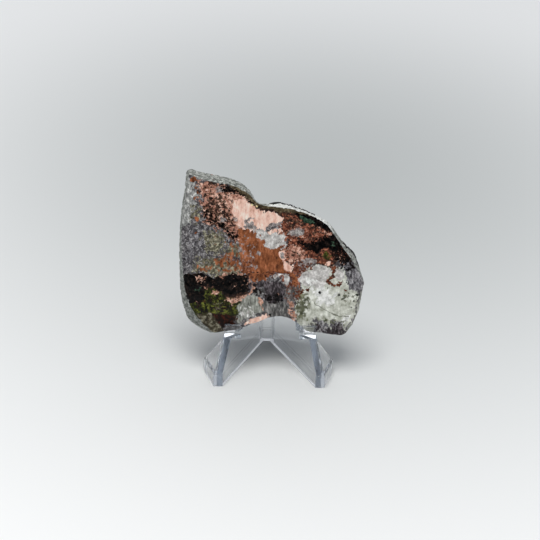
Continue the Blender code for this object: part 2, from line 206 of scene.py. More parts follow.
REGIONS = {
    "ash": [
        Region(0.85, 1.2, [(-26.6, 52.5), (-24.8, 51), (-24.2, 48), (-24, 45), (-24.6, 41), (-25, 38.5),
                           (-26.5, 36), (-29.5, 34), (-29.5, 40), (-28.5, 48)]),
        Region(0.3, 1.0, [(-30, 36), (-27.6, 36), (-27.4, 30), (-28, 22), (-30, 22)]),
    ],
    "leaf": [
        Region(0.5, 1.0, [(-25.2, 44.4), (-22.4, 41), (-22, 38.5), (-23.5, 36.4), (-26, 36), (-27.2, 38),
                          (-26.8, 42)]),
        Region(0.75, 1.2, [(-21.5, 34), (-17.5, 33.5), (-14.8, 32.5), (-14.5, 29), (-15, 26), (-18, 25.5),
                           (-21, 27), (-22.5, 30.5)]),
        Region(0.75, 1.2, [(-24, 25), (-18, 25.4), (-12, 24), (-9, 21), (-8, 18.4), (-16, 17.4),
                           (-20, 19), (-25.5, 19.4)]),
        Region(0.7, 1.0, [(-14.5, 30), (-10, 29.8), (-8.8, 27), (-9, 24.5), (-12, 24.3), (-14.6, 26)]),
    ],
    "net": [
        Region(1.0, 0.8, [(-29, 18.6), (-24, 19), (-16, 18), (-8, 18.6), (-7, 13), (-9.6, 9), (-10.4, 4), (-16, 1.6),
                          (-22, 4), (-27.4, 9)]),
        Region(1.0, 0.6, [(-13, 49), (-9, 47.6), (-6, 45), (-3, 43), (1, 42.2), (6, 41.6), (12, 40), (17, 37.4),
                          (20.6, 34.4), (24, 31), (27.6, 25), (27, 23), (21, 26), (12, 35), (4, 38), (-2, 39.6),
                          (-6, 41), (-10, 43.5), (-13, 46)]),
        Region(0.92, 1.6, [(-22.4, 49.6), (-19.3, 49.8), (-17.5, 49.4), (-15, 49.5), (-12.6, 48), (-11.2, 46),
                           (-11, 44.5), (-12.2, 42), (-12.4, 40), (-11.6, 38.3), (-10, 37), (-9.6, 35.2),
                           (-10.4, 33.5), (-10.2, 31.4), (-12, 30.8), (-14.2, 31.4), (-15.2, 34.2),
                           (-18, 35.8), (-20.5, 36.4), (-21.6, 38.5), (-21.4, 41.5), (-21.4, 45)]),
        Region(1.0, 0.6, [(14, 28), (17, 28.6), (21.6, 28), (23.4, 24.4), (21, 22.2), (15.4, 22.4), (13.4, 25)]),
        Region(1.0, 0.7, [(3.8, 39.9), (6.5, 39.9), (9.5, 38.6), (11, 37.2), (13.5, 36.9), (16, 36.2),
                          (18.5, 35.2), (20.6, 33.6), (20.2, 32.6), (17, 32.2), (14.5, 30.8), (12, 29.9),
                          (13.5, 28.6), (16.8, 27.2), (18.2, 26), (19.3, 24.4), (18, 23.6), (14, 23.8),
                          (11.8, 23.2), (9, 23.3), (7.6, 22.4), (4.9, 24), (4.9, 27.5), (6.2, 30.5),
                          (5.6, 33.5), (3.9, 36.8)]),
    ],
    "brick": [
        Region(0.62, 0.8, [(4.6, 23), (9, 23.4), (14, 23.4), (12, 20), (10.4, 15), (8, 13), (5.4, 15), (3, 18.8)]),
        Region(0.6, 0.8, [(14, 28), (17, 28.4), (20.4, 27.6), (22, 24.4), (20.6, 22.4), (15.4, 22.6), (13.4, 25)]),
        Region(0.8, 0.8, [(2.6, 36), (5, 38), (6.4, 34.4), (5.8, 29), (5.4, 22), (4, 19), (3.2, 26), (3.6, 31)]),
        Region(0.72, 0.8, [(3.8, 39.7), (6.5, 39.8), (9.5, 38.6), (11, 37.2), (13.5, 36.8), (16, 36.2),
                           (18.5, 35), (20.6, 33.5), (20.2, 32.6), (17, 32.2), (14.5, 30.8), (12, 29.9),
                           (13.5, 28.6), (16.8, 27.2), (18.6, 26), (19.3, 24.4), (18, 23.6), (14, 23.8),
                           (11.8, 23.2), (9, 23.3), (7.6, 22.4), (4.9, 24), (4.9, 27.5), (6.2, 30.5),
                           (5.6, 33.5), (3.9, 36.8)]),
    ],
    "rust": [
        Region(0.96, 0.9, [(-10.8, 34.4), (-8.6, 35.4), (-6.4, 35.4), (-5, 34), (-3, 32.6), (-1.6, 30.6),
                           (-1, 29), (0.6, 28.4), (3.6, 29), (4.8, 26), (5.2, 23.8), (5.4, 21), (5, 19.5),
                           (3, 19.6), (0, 18.8), (-0.4, 17), (-3, 16.9), (-5.2, 16.8), (-7, 18.6),
                           (-9.6, 20.4), (-10, 24), (-9.4, 27.4), (-10.8, 30)]),
        Region(0.56, 1.2, [(-18.6, 25), (-14, 26.4), (-9.6, 26.4), (-9.4, 19.4), (-14, 19.2), (-18.4, 20.6)]),
        Region(0.4, 1.0, [(-24, 22.6), (-18, 22.4), (-17, 19.6), (-23, 19.6)]),
        Region(0.45, 1.0, [(-14.4, 31.2), (-10.4, 31), (-9.4, 27), (-13.6, 26.4)]),
        Region(0.5, 0.6, [(-18.4, 35), (-17.2, 35), (-16.8, 29), (-17.8, 29)]),
        Region(0.95, 0.5, [(4.2, 20.3), (7.2, 20.2), (9.4, 18.6), (9.8, 15.2), (8, 15), (7.7, 17.8),
                           (6.4, 19.4), (4.4, 19.5)]),
        Region(0.9, 0.4, [(-25.9, 51.2), (-24.7, 52.2), (-23.9, 50.6), (-24.5, 49.8), (-26.1, 49.9)]),
        Region(0.62, 0.6, [(-24.9, 48.8), (-23.9, 48.8), (-23.7, 44.2), (-24.8, 44.4)]),
        Region(0.85, 0.3, [(-24.9, 38), (-23.7, 38.1), (-23.5, 37), (-24.7, 36.9)]),
        Region(0.85, 0.3, [(-24.9, 33.7), (-23.7, 33.6), (-23.7, 32.4), (-24.8, 32.5)]),
        Region(0.8, 0.4, [(-23.2, 20.6), (-22.6, 21.8), (-21.4, 21.6), (-20.7, 20.6), (-22.2, 20)]),
    ],
    "salmon": [
        Region(0.9, 0.8, [(-13, 46), (-10.4, 46.2), (-7.4, 44.4), (-6, 41), (-6.4, 35.8), (-10.6, 35),
                          (-12.4, 38), (-13, 42)]),
        Region(0.64, 1.0, [(-24, 50.8), (-22, 50.4), (-19.3, 49.6), (-17.5, 49.2), (-15, 49.3), (-12.6, 47.8),
                           (-11.2, 46), (-11, 44.5), (-12.2, 42), (-12.4, 40), (-11.6, 38.3), (-10, 37),
                           (-9.6, 35.2), (-10.4, 33.5), (-10.2, 31.4), (-12, 30.8), (-14.2, 31.4),
                           (-15.2, 34.2), (-18, 35.8), (-21.5, 36), (-22.4, 38.5), (-22.6, 41.5),
                           (-23.5, 44.5), (-24, 48)]),
        Region(0.85, 0.9, [(-23.2, 50.2), (-20, 50), (-19, 47), (-20, 45.2), (-22.4, 45), (-23.3, 47)]),
        Region(0.82, 0.9, [(-16.4, 45.6), (-12.4, 45.2), (-12.2, 42), (-13.2, 38.6), (-16, 38.8), (-17.5, 41),
                           (-17.2, 44)]),
        Region(0.3, 0.8, [(5, 39.4), (9.5, 38.3), (16, 35.9), (20.4, 33.4), (16.6, 31.9), (12, 29.9),
                          (6.6, 30.5), (5.8, 33.5)]),
        Region(0.72, 0.9, [(5, 28.6), (9.6, 29.2), (12, 27.4), (11.6, 24), (9, 23.4), (7.6, 22.6), (5, 24)]),
        Region(0.8, 0.5, [(17.4, 34.8), (19.6, 34), (20.8, 32.7), (19.8, 32.4), (18, 33.4)]),
    ],
    "web": [
        Region(0.34, 0.8, [(-9.6, 21), (-5, 21), (1, 20.6), (4.8, 20.4), (4.6, 18.6), (0, 17), (-6, 16.6),
                           (-9.4, 19)]),
        Region(0.34, 1.0, [(-24, 50.8), (-20, 50.2), (-15, 49.3), (-11.6, 47), (-11.4, 43), (-13, 39), (-10.5, 36),
                           (-10, 32), (-13, 31), (-15.5, 34.2), (-21.5, 36), (-23.4, 41), (-24.4, 46)]),
        Region(0.58, 0.8, [(-19.5, 45.5), (-16, 45), (-12.6, 41), (-12, 36.5), (-14, 34), (-19, 36.4),
                           (-22, 39), (-22.4, 42.5)]),
        Region(0.62, 0.8, [(4.8, 39.6), (8.4, 38.8), (12, 37), (12, 35.4), (7, 35), (4.6, 36.6)]),
        Region(0.38, 0.8, [(4.6, 39.9), (9.5, 38.6), (14, 36.9), (20.6, 33.4), (16.6, 31.6), (12, 29.5),
                           (8, 29.8), (5.6, 33.5)]),
        Region(0.34, 0.8, [(5, 30.5), (10, 30), (14.4, 27.8), (18.6, 26), (18, 23.6), (11.6, 23.4), (7.6, 22.6),
                           (5.4, 25)]),
    ],
    "pink": [
        Region(1.0, 0.6, [(-12.2, 41.6), (-11.6, 43.6), (-10.2, 45), (-8.6, 44.6), (-7.2, 43.4), (-5.6, 42.2),
                          (-4.2, 41.2), (-2.2, 40.4), (0.5, 39.9), (3.2, 39.5), (4, 38.8), (3.9, 37.4),
                          (2.6, 36.7), (0.2, 36), (-1, 35.2), (-1.2, 33.9), (-2.4, 33.4), (-3.4, 34.6),
                          (-4.8, 34.4), (-6.2, 34), (-8, 34.6), (-9.6, 35.2), (-10.6, 36.8), (-11.4, 39)]),
        Region(1.0, 0.35, [(4.2, 24.4), (5.4, 23.4), (7, 22.6), (8.4, 22.8), (8.6, 21.8), (7.6, 20.6), (6.8, 19.8),
                           (5.4, 20.2), (4.5, 21.8)]),
        Region(0.75, 0.4, [(-0.5, 33.6), (1.5, 34.6), (3.8, 34.9), (4.6, 34), (2.4, 33.3), (0, 32.6)]),
        Region(1.0, 0.2, [(-8, 1.6), (-3.6, 2), (0.6, 4.2), (1, 5.4), (-0.1, 6.1), (-3, 4.9), (-7, 3.2)]),
        Region(0.85, 0.35, [(2.9, 26), (3.6, 27.9), (4.9, 27.7), (5.3, 26), (4.6, 24.2), (3.3, 24.3)]),
        Region(0.75, 0.3, [(11.8, 24.6), (12.6, 25), (13.6, 23.8), (13.2, 23), (11.9, 23.2)]),
        Region(0.75, 0.3, [(17.6, 23.5), (19, 24), (20.3, 23.6), (20, 22.6), (18, 22.7)]),
    ],
    "shade": [
        Region(0.85, 0.4, [(-8.6, 37.2), (-7.4, 38.4), (-5.4, 38.2), (-6.6, 37.2), (-7.2, 36.3), (-5.4, 36.6),
                           (-4.6, 35.4), (-4.4, 33.6), (-5.4, 32.8), (-6.4, 34.4), (-8, 34.9)]),
        Region(0.85, 0.4, [(-0.4, 35.6), (1, 36.6), (3.2, 36.9), (4.4, 36.4), (4.2, 35.2), (2.6, 35.3),
                           (1.2, 34.9), (-0.6, 33.9), (-1.1, 34.6)]),
        Region(0.5, 0.4, [(-12.2, 38.4), (-10.6, 38.8), (-9.8, 37.8), (-10.6, 36.8), (-12, 37.2)]),
        Region(0.95, 0.3, [(3.4, 26), (4, 27.2), (4.8, 26.8), (4.8, 25.2), (4, 24.7), (3.5, 25)]),
        Region(0.9, 0.8, [(6.4, 34.2), (8.3, 35), (10.2, 34.7), (11.8, 33.9), (10.6, 32.8), (9, 32.1), (7.2, 32),
                          (6.2, 33)]),
        Region(0.9, 0.6, [(10, 24.6), (13, 25), (15.4, 23.8), (15, 22.4), (11.4, 22.6)]),
        Region(0.7, 0.4, [(-10.8, 28.8), (-9.4, 29), (-9.2, 27.4), (-10.4, 27)]),
        Region(0.7, 0.4, [(-4.4, 27.2), (-2.8, 27.4), (-2.6, 25.8), (-4, 25.6)]),
        Region(0.6, 0.4, [(-4.9, 22.2), (-3.4, 22.4), (-3.2, 20.8), (-4.6, 20.8)]),
        Region(0.8, 0.5, [(-17.4, 48.2), (-15.6, 48.4), (-15, 47.2), (-16.4, 46.4), (-17.6, 47)]),
        Region(0.75, 0.5, [(-16.9, 38.4), (-14.8, 38.6), (-14, 37.4), (-15.4, 36.8), (-16.8, 37.2)]),
        Region(0.6, 0.8, [(9.6, 23.6), (14, 23.4), (14.4, 21.6), (11, 20.8), (9.4, 21.6)]),
        Region(0.4, 0.8, [(-9.6, 33.4), (-6.4, 33), (-5.6, 30.6), (-8.4, 30)]),
        Region(0.32, 1.2, [(-10.4, 31.6), (-6.6, 31), (-3.8, 28.6), (-3, 25.4), (-4.4, 20), (-9.4, 19.6),
                           (-10.4, 25)]),
    ],
    "mist": [
        Region(0.95, 0.8, [(-10.4, 11), (-6, 12.6), (-3.4, 11.8), (-1.6, 10), (-1, 7), (-3.4, 6), (-7, 4.2),
                           (-10.4, 3)]),
        Region(0.95, 0.3, [(33, 16.6), (33, 9), (31, 2), (27, -3), (24, -4), (24, -1.6), (26, -0.2), (27.9, 2.6),
                           (29.4, 6.2), (30.2, 11), (30.6, 15.8)]),
    ],
    "white": [
        Region(0.8, 0.8, [(-4.8, 34), (-3.4, 34.3), (-1.6, 33.2), (0.6, 33.6), (3.2, 33.8), (5, 33.2), (5.9, 31),
                          (5.6, 29.3), (4.6, 28.3), (2.6, 28.6), (1.6, 27.6), (-0.6, 27.7), (-1.8, 28.8),
                          (-2.4, 30.6), (-4.2, 31.6), (-4.9, 33)]),
        Region(0.5, 0.8, [(6.8, 34.2), (8.6, 35), (11, 34.2), (10.2, 32.6), (7.2, 32.3)]),
        Region(1.0, 0.5, [(-1.9, 30.6), (0, 31.8), (2, 31), (2, 28.6), (0.8, 27.5), (-1.2, 28.4)]),
        Region(1.0, 0.6, [(10, 18), (11, 20), (13.4, 21), (14.6, 22.2), (17, 22.6), (19.6, 22), (20.4, 20.4),
                          (19.6, 18.4), (19.2, 16.4), (17.5, 15), (14.5, 15.2), (11.2, 15.8), (9.9, 16.8)]),
        Region(0.9, 0.5, [(21.6, 21.5), (23.6, 21.6), (25, 20.4), (24.6, 18.2), (22.6, 17.5), (21.8, 19)]),
        Region(0.78, 0.4, [(4.6, 18.8), (6.2, 19), (7.4, 17.4), (7, 15.9), (5.8, 15.6), (4.8, 16.8)]),
        Region(0.75, 0.3, [(1, 19.4), (3.4, 19.8), (4.8, 19), (3.4, 18.5), (1.4, 18.4)]),
        Region(0.5, 2.0, [(-9.4, 7), (-7.2, 9), (-6, 9), (-4.6, 6.4), (-4.2, 3.8), (-7.4, 2), (-9.4, 3)]),
    ],
    "pale": [
        Region(0.9, 0.8, [(10.6, 20), (14.6, 22.4), (20, 22.4), (25, 22), (26.4, 18), (27.6, 14), (16, 13),
                          (10.4, 14)]),
        Region(1.0, 0.7, [(9.8, 14.4), (12, 15), (15, 15.8), (20, 15.4), (24, 15.4), (26.5, 16.4), (29.8, 14.6),
                          (29.9, 11), (29, 6), (27.4, 2.8), (25.6, 0.2), (24, -1.2), (20, -1), (14, -0.4),
                          (9.2, 2.6), (9.2, 8), (8.8, 11.5)]),
        Region(0.7, 0.7, [(20, 22.6), (24.8, 22), (26.2, 19), (26, 15.6), (20.6, 15.2), (19.4, 17)]),
    ],
    "bright": [
        Region(0.9, 1.2, [(14.4, 14.8), (17.5, 15.2), (20.6, 14.4), (22, 11.4), (21.6, 8.6), (19, 9.2),
                          (16.8, 10.8), (15, 12.6)]),
        Region(0.6, 1.2, [(11.4, 17.6), (12.6, 18.8), (15.6, 18), (17.6, 16), (15, 15), (12, 16)]),
        Region(0.7, 0.6, [(24.9, 5.8), (27.6, 5.6), (26.4, 2.8), (25.2, 0.8), (24.7, 2.8)]),
        Region(0.2, 0.8, [(-1.6, 30.4), (0, 31.4), (1.6, 30.6), (1.4, 28.4), (-0.6, 28.4)]),
        Region(0.3, 0.8, [(-8, 6.6), (-6.4, 7.6), (-5.2, 5.6), (-6, 3.6), (-8, 4)]),
        Region(0.6, 0.3, [(15.4, 9.8), (15.9, 9.6), (18.2, 15.8), (17.2, 16)]),
        Region(0.6, 0.3, [(16.2, 9.4), (16.6, 9.2), (21, 15), (20.2, 15.4)]),
        Region(0.6, 0.3, [(16.8, 8.8), (17.2, 8.5), (23.6, 13), (23, 13.8)]),
        Region(0.5, 0.3, [(13.8, 9.6), (14.2, 9.6), (14.6, 14.8), (13.8, 14.8)]),
        Region(0.62, 0.2, [(-8.2, 9.4), (-7.8, 9.5), (-6.2, 3.2), (-6.7, 3)]),
        Region(0.62, 0.2, [(-9.2, 8.4), (-8.8, 8.6), (-8.4, 3.4), (-8.9, 3.3)]),
        Region(0.62, 0.2, [(-7, 9.6), (-6.6, 9.6), (-4.2, 4.6), (-4.7, 4.3)]),
    ],
    "sage": [
        Region(0.7, 1.6, [(8.6, 13.4), (13, 13.6), (13.8, 9), (13, 4.4), (10.5, 2.6), (8.6, 5)]),
        Region(0.38, 1.4, [(24.5, 15), (30.2, 14.5), (30.4, 9), (26, 8), (23.4, 11)]),
        Region(0.5, 1.0, [(13.4, 4.6), (20, 5), (26, 4), (26, 1), (13.4, 0.6)]),
        Region(0.6, 0.5, [(-16.4, 12.8), (-14.8, 12.6), (-14.4, 11), (-15.8, 10.6)]),
    ],
    "streak": [
        Region(1.0, 0.8, [(-1.6, 10.2), (5.2, 10.4), (6.6, 8), (6.6, 4), (3, 4), (0.4, 4.6), (-0.6, 6.4)]),
        Region(0.7, 0.8, [(5.2, 15.4), (9.6, 15.4), (10.6, 12), (9.6, 10), (6, 9.8), (5, 12.4)]),
        Region(0.7, 0.6, [(-5.6, 14.8), (-2.4, 15), (-0.6, 13.4), (-1.4, 12), (-5, 12)]),
    ],
    "violet": [
        Region(0.95, 0.8, [(24.4, 23.6), (26.6, 24), (28.8, 22.6), (30.8, 19.2), (31.9, 16.4), (31.3, 14),
                           (28.6, 13.6), (26.6, 15.2), (25.4, 17.6), (25.2, 20.5)]),
        Region(0.78, 1.4, [(14, 4.2), (16.8, 5), (19.2, 3.4), (20.8, 2.8), (22.4, 4.3), (24.8, 3.6),
                           (25.8, 0.6), (24.4, -2.4), (18, -1.6), (14.6, -1)]),
        Region(0.4, 1.5, [(-28.8, 34), (-23, 34), (-20, 31), (-22, 22), (-28.6, 20)]),
    ],
    "slate": [
        Region(1.0, 0.6, [(-6.4, 16.6), (-2.6, 16.4), (0, 16.9), (2.6, 17.5), (4.6, 16.4), (5.3, 13), (5.2, 10),
                          (2.4, 9.4), (-0.6, 9.8), (-0.8, 13), (-2, 14.8), (-5, 15)]),
        Region(0.6, 0.7, [(-8.4, 19.2), (-6.2, 18.6), (-5.4, 15.2), (-6.6, 12.8), (-8, 14)]),
        Region(0.5, 0.9, [(14.8, 3.4), (18.6, 3.4), (19, -1.4), (15.4, -0.8)]),
        Region(0.74, 1.1, [(18, 1.6), (21, 1.2), (23.6, 3), (25.4, 1.8), (26.4, -0.6), (24.8, -2.6), (19, -2)]),
    ],
    "black": [
        Region(1.0, 0.6, [(9, 30.2), (10.6, 31), (12.6, 30.2), (14.6, 31), (16.4, 32.2), (19, 32.2), (21.2, 33.4),
                          (23.3, 31), (25.2, 28), (27.2, 25.2), (26.8, 24), (25.2, 23.4), (23.8, 23.4),
                          (22.8, 24.2), (21.4, 24.4), (19.6, 27.8), (17.4, 27.9), (15.2, 26.6), (13.4, 27.6),
                          (12.2, 29), (10.2, 28.8)]),
        Region(1.0, 0.5, [(-30.5, 19), (-25, 19.5), (-20.4, 19), (-16.3, 17.5), (-14.6, 18.8), (-12.5, 19.4),
                          (-8.5, 19.4), (-6.7, 18.2), (-6.6, 15), (-8.4, 12.9), (-10.6, 12.4), (-12.4, 11.3),
                          (-14.4, 12.6), (-17, 14.4), (-19.6, 15.6), (-22.6, 15.5), (-24.4, 15), (-30.5, 14.5)]),
        Region(1.0, 0.8, [(-30, 17), (-24.5, 17), (-21.6, 14.4), (-20.8, 10.6), (-22.6, 9.2),
                          (-25.4, 9.6), (-27.4, 9.2), (-28.4, 11.6)]),
        Region(0.44, 1.4, [(-22, 14.4), (-18, 13.4), (-13.6, 10.8), (-10.4, 9), (-10, 5.6), (-15, 5.2), (-19.6, 5.2),
                           (-22, 3.6), (-26.4, 7), (-24, 10)]),
        Region(0.6, 1.2, [(22.4, 25), (27.6, 25.6), (29.4, 22.4), (27.6, 19.4), (24.4, 20.4), (22.6, 22.6)]),
        Region(0.6, 0.7, [(-21.9, 40.4), (-19.8, 40.9), (-18.2, 39.4), (-18, 36.8), (-19.8, 36), (-21.7, 37.4)]),
        Region(0.6, 0.5, [(-14.8, 34.6), (-12.4, 34.2), (-10.4, 32.6), (-10.8, 31), (-13, 31.4), (-14.4, 32.2)]),
        Region(0.7, 0.5, [(-16.9, 49), (-14, 49), (-12.2, 47.8), (-11.2, 46.6), (-13, 46.2), (-15.2, 46.6),
                          (-16.6, 47.4)]),
        Region(0.8, 0.4, [(-17.9, 37.9), (-16, 37), (-14.4, 36.4), (-14.8, 35), (-16.6, 35.4)]),
        Region(0.56, 0.9, [(-1, 13.4), (2, 13), (5.2, 13), (5.4, 9.8), (2.4, 9.4), (-1, 9.8)]),
        Region(0.66, 0.7, [(-5.6, 15.6), (-3, 15.2), (-1.6, 13), (-3.2, 11.6), (-5.2, 12.6)]),
        Region(1.0, 0.4, [(7.6, 40.6), (12.6, 41), (16.6, 39.2), (19.8, 37), (21.4, 34.4), (20.8, 33.2),
                          (17.4, 35), (13, 36.6), (9, 38.4)]),
        Region(0.8, 0.3, [(-12.8, 48.6), (-9, 46.9), (-6.2, 44.4), (-4.4, 42.8), (-5, 42.3), (-7.4, 44.4),
                          (-10.6, 46.2), (-13, 47.4)]),
    ],
    "ember": [
        Region(0.4, 0.8, [(8.6, 31.4), (12.4, 31.6), (16, 33), (19.4, 32.8), (18.6, 31), (14.4, 29.8),
                          (11.6, 29), (9, 29)]),
        Region(0.34, 0.8, [(17, 28.4), (20.6, 27.6), (22.6, 24.4), (19.6, 24.6), (17, 26)]),
        Region(0.24, 0.8, [(20, 31.6), (23.6, 30.4), (26.4, 25.4), (23.4, 25.4), (20.6, 29)]),
    ],
    # The dark band along the top edge, partly a dark mineral and partly painted shade on the bevel there
    "shaded_band": [
        Region(1.0, 0.4, [(-15.5, 50.6), (-12.4, 50), (-9.8, 49), (-7.2, 47.4), (-5.4, 45.7), (-4.4, 44.3),
                          (-3, 43.6), (-0.8, 43), (2, 42.8), (4.8, 42.5), (8.7, 41.8), (12.8, 40.8), (13.4, 39.6),
                          (9.6, 39.6), (6.4, 40.4), (3.2, 40.4), (0.4, 40.7), (-2.4, 41.2), (-4.4, 42.3),
                          (-6.2, 43.6), (-8, 45.2), (-10.2, 46.3), (-11.4, 47.8), (-13, 48.9)]),
    ],
    "teal": [
        Region(0.9, 0.4, [(10, 38.9), (12.2, 38.7), (14.8, 37.5), (14.2, 36.8), (12, 37), (10.2, 37.8)]),
        Region(0.5, 0.6, [(20.2, 30.6), (21.8, 30.4), (22.2, 28.4), (20.6, 28)]),
        Region(0.6, 0.6, [(-24.6, 14.6), (-22.6, 14.8), (-22, 13.4), (-24, 13)]),
    ],
    "olive": [
        Region(1.0, 0.7, [(-22, 13.6), (-20, 15.4), (-18.6, 14.6), (-16, 13.4), (-14.6, 11.8), (-12, 10.8),
                          (-9.2, 10), (-10.6, 8), (-9.2, 6.6), (-11.6, 5.2), (-14, 5.4), (-17, 5.8), (-19.6, 5.4),
                          (-22, 3.6), (-24.4, 4), (-26.2, 7), (-27.4, 9.4), (-24.6, 9.8), (-22.4, 9.2),
                          (-21, 11)]),
        Region(0.8, 0.5, [(17.6, 26.8), (19.6, 27), (20.4, 25.4), (19, 24.2), (17.8, 25)]),
    ],
    "umber": [
        Region(0.5, 0.8, [(-18.4, 9.4), (-14, 9.4), (-12.4, 7.8), (-14.4, 6.4), (-18, 6.6)]),
        Region(1.0, 0.6, [(-24.4, 5), (-19.6, 5.6), (-16.4, 2.6), (-14.2, -1.6), (-18, -2), (-21, -0.6),
                          (-23.6, 2.6)]),
    ],
    "wine": [
        Region(0.3, 1.0, [(-24.6, 9), (-19, 14), (-12, 10.4), (-11, 6.4), (-18, 5.4), (-24.6, 4.6)]),
        Region(0.95, 0.6, [(-18, 5.6), (-14.4, 5.8), (-10.4, 5.2), (-12, 3.6), (-10.2, 1.4), (-13.8, 1.2),
                           (-15.8, 1.6), (-16.6, 3.4), (-18, 3.8)]),
        Region(0.5, 0.6, [(21, 27), (24.6, 27), (25.6, 24), (22.6, 23.6), (20.6, 25)]),
    ],
    "chain": [
        Region(0.9, 0.4, [(20.6, 22.6), (22.2, 22.5), (23.2, 21.6), (22, 20.8), (21.6, 19.6), (22.2, 18.8),
                            (21.2, 18), (20.8, 17), (21.6, 16), (23.4, 16.6), (24.2, 17.6), (24.3, 16.2),
                            (23.4, 15.2), (21.4, 15), (19.8, 16), (19.2, 17.4), (19.8, 18.6), (20.8, 19.4),
                            (20.4, 20.8), (20, 21.8)]),
        Region(0.9, 0.3, [(12.6, 15), (13.8, 15.2), (13.8, 14), (12.7, 14)]),
        Region(0.9, 0.3, [(10.2, 14.9), (11.8, 14.6), (11.7, 13.2), (10.4, 13.2)]),
        Region(0.8, 0.3, [(24.7, 14.5), (26, 14.4), (25.8, 13.2), (24.9, 13.2)]),
        Region(0.6, 0.5, [(8.8, 15), (11, 14.6), (11.2, 12), (10.6, 10.4), (9, 10.6), (8.4, 12.6)]),
        Region(0.6, 0.6, [(7.6, 22.6), (10.6, 23), (13.6, 23.4), (15.6, 22.9), (14.2, 21.5), (11.8, 20.4),
                          (10.2, 19.2), (8.4, 20), (7.4, 21)]),
        Region(0.4, 0.5, [(5, 15.4), (9.2, 15.4), (9.2, 10.6), (5.6, 10.4)]),
        Region(0.5, 0.7, [(-1.6, 20), (3.6, 20.6), (8.2, 19.6), (9.6, 15.4), (7.4, 14.6), (7.4, 17), (5, 19.2),
                          (1, 18.4), (-2, 18.4)]),
        Region(0.42, 0.8, [(-9.4, 24), (-5, 24), (-4.4, 17.6), (-8, 18.6)]),
    ],
    "vein": [
        Region(0.34, 0.8, [(-8, 19), (-5.4, 18.4), (-4.4, 15.6), (-5.6, 13), (-7.2, 14.4)]),
        Region(0.52, 0.5, [(5.8, 10.4), (7.2, 10.8), (8.9, 9.6), (8.8, 7.4), (9.4, 5.2), (8.9, 3), (7.2, 4),
                           (6.3, 5.8), (6.3, 8)]),
        Region(0.85, 0.35, [(-3.7, 11.7), (-2, 11.5), (-1.5, 9.8), (-2.4, 8.7), (-3.6, 9.8)]),
        Region(0.9, 0.25, [(-7.4, 12.8), (-6.6, 12.4), (-4.6, 14.6), (-5, 15.2)]),
        Region(0.6, 0.4, [(-14.7, 10.7), (-13, 11.3), (-11.6, 10.8), (-9.8, 12.2), (-7.4, 13), (-7.3, 12),
                           (-9, 10.7), (-10.6, 9.9), (-11.8, 8.9), (-13.5, 9.7)]),
        Region(0.9, 0.3, [(-18.5, 13.4), (-17, 13.9), (-16.4, 12.6), (-17.4, 11.7), (-18.4, 12.5)]),
        Region(0.46, 0.5, [(-24.6, 18.9), (-23.2, 19.2), (-21, 19), (-20.4, 17), (-22.4, 16.4), (-24.2, 17)]),
        Region(0.7, 0.3, [(-16.2, 18), (-14.2, 19.7), (-12.8, 20), (-13.6, 18.7), (-15.4, 17.5)]),
        Region(0.6, 0.3, [(-10.8, 19.8), (-8.8, 20), (-9.2, 18.9), (-10.6, 18.9)]),
        Region(0.55, 0.3, [(-21.6, 15.8), (-20.6, 15.6), (-20.9, 14.6), (-21.6, 14.8)]),
        Region(0.7, 0.25, [(-12.2, 15.8), (-11.6, 15.7), (-11.8, 15)]),
        Region(0.6, 0.3, [(-24.2, 9.6), (-22.6, 9.8), (-22.8, 9), (-24, 8.9)]),
        Region(0.7, 0.25, [(-2.6, 9), (-1.8, 8.9), (-0.2, 6.2), (-0.9, 5.9)]),
        Region(0.4, 0.5, [(22.4, 26.4), (24.4, 26), (25, 24.4), (23.4, 24)]),
        Region(0.22, 0.6, [(19.6, 27), (24, 27.4), (26, 25), (25, 22), (21.4, 23.6)]),
        Region(0.2, 0.6, [(-17.6, 18.4), (-12.4, 20), (-7.4, 19.4), (-7.4, 18.2), (-12.2, 18.6), (-16.6, 17)]),
        Region(0.06, 0.8, [(-25, 18.6), (-17, 17.4), (-12, 18.8), (-7, 18), (-7.4, 14.4), (-11.6, 13.4),
                          (-17, 15.2), (-24, 15.6)]),
        Region(0.26, 0.5, [(-22.4, 15.4), (-19, 15), (-16.6, 14), (-14.4, 12.6), (-16, 12), (-20, 13.6)]),
        Region(0.6, 0.25, [(3, 12.8), (3.8, 12.9), (3.8, 11.8), (3.1, 11.8)]),
        Region(0.45, 0.4, [(-21, 48.6), (-18.6, 49.6), (-19, 47.4), (-21, 47)]),
    ],
}
# Small spots on the face: right, up, radius
SPOTS = {
    "ink": [(17, 13.3, 0.55), (23.4, 12.6, 0.42), (29.4, 12.6, 0.48), (25.7, 16.8, 0.34),
            (0.6, 5.5, 0.52), (19.6, 14.8, 0.3), (-3.6, 42, 0.36), (28.4, 10.4, 0.32),
            (26.6, 12.2, 0.3), (27.6, 8.2, 0.3)],
    "spark": [(-6, 42.5, 0.42), (-4.4, 42.1, 0.36)],
}
# Painted highlight: the rim made bright on its upper right, where the light from above and behind catches it
RIM_PAINTED_HIGHLIGHT = [
    Region(0.9, 2.4, [(0, 48), (6, 48), (18, 43), (24, 38), (20, 33), (10, 38), (-1, 40)]),
]
# Darker colour on the far part of the rim, fading in from a little past halfway to the back
RIM_DARK = [
    Region(0.95, 0.9, [(-0.4, 41), (0.4, 45), (5.6, 44.8), (5.6, 41)]),
    Region(0.7, 0.8, [(5, 41), (5, 45.4), (12, 44), (17, 41), (15, 37), (10, 40)]),
    Region(0.95, 0.9, [(23.6, 26), (25, 31.4), (28, 30), (31, 25), (30, 20.6), (26, 21)]),
]
# The healed crack that crosses the pale crystal
CRACK = [(14.6, 10.8), (17, 8.9), (20, 6.7), (22.4, 5.7), (27, 5.2)]


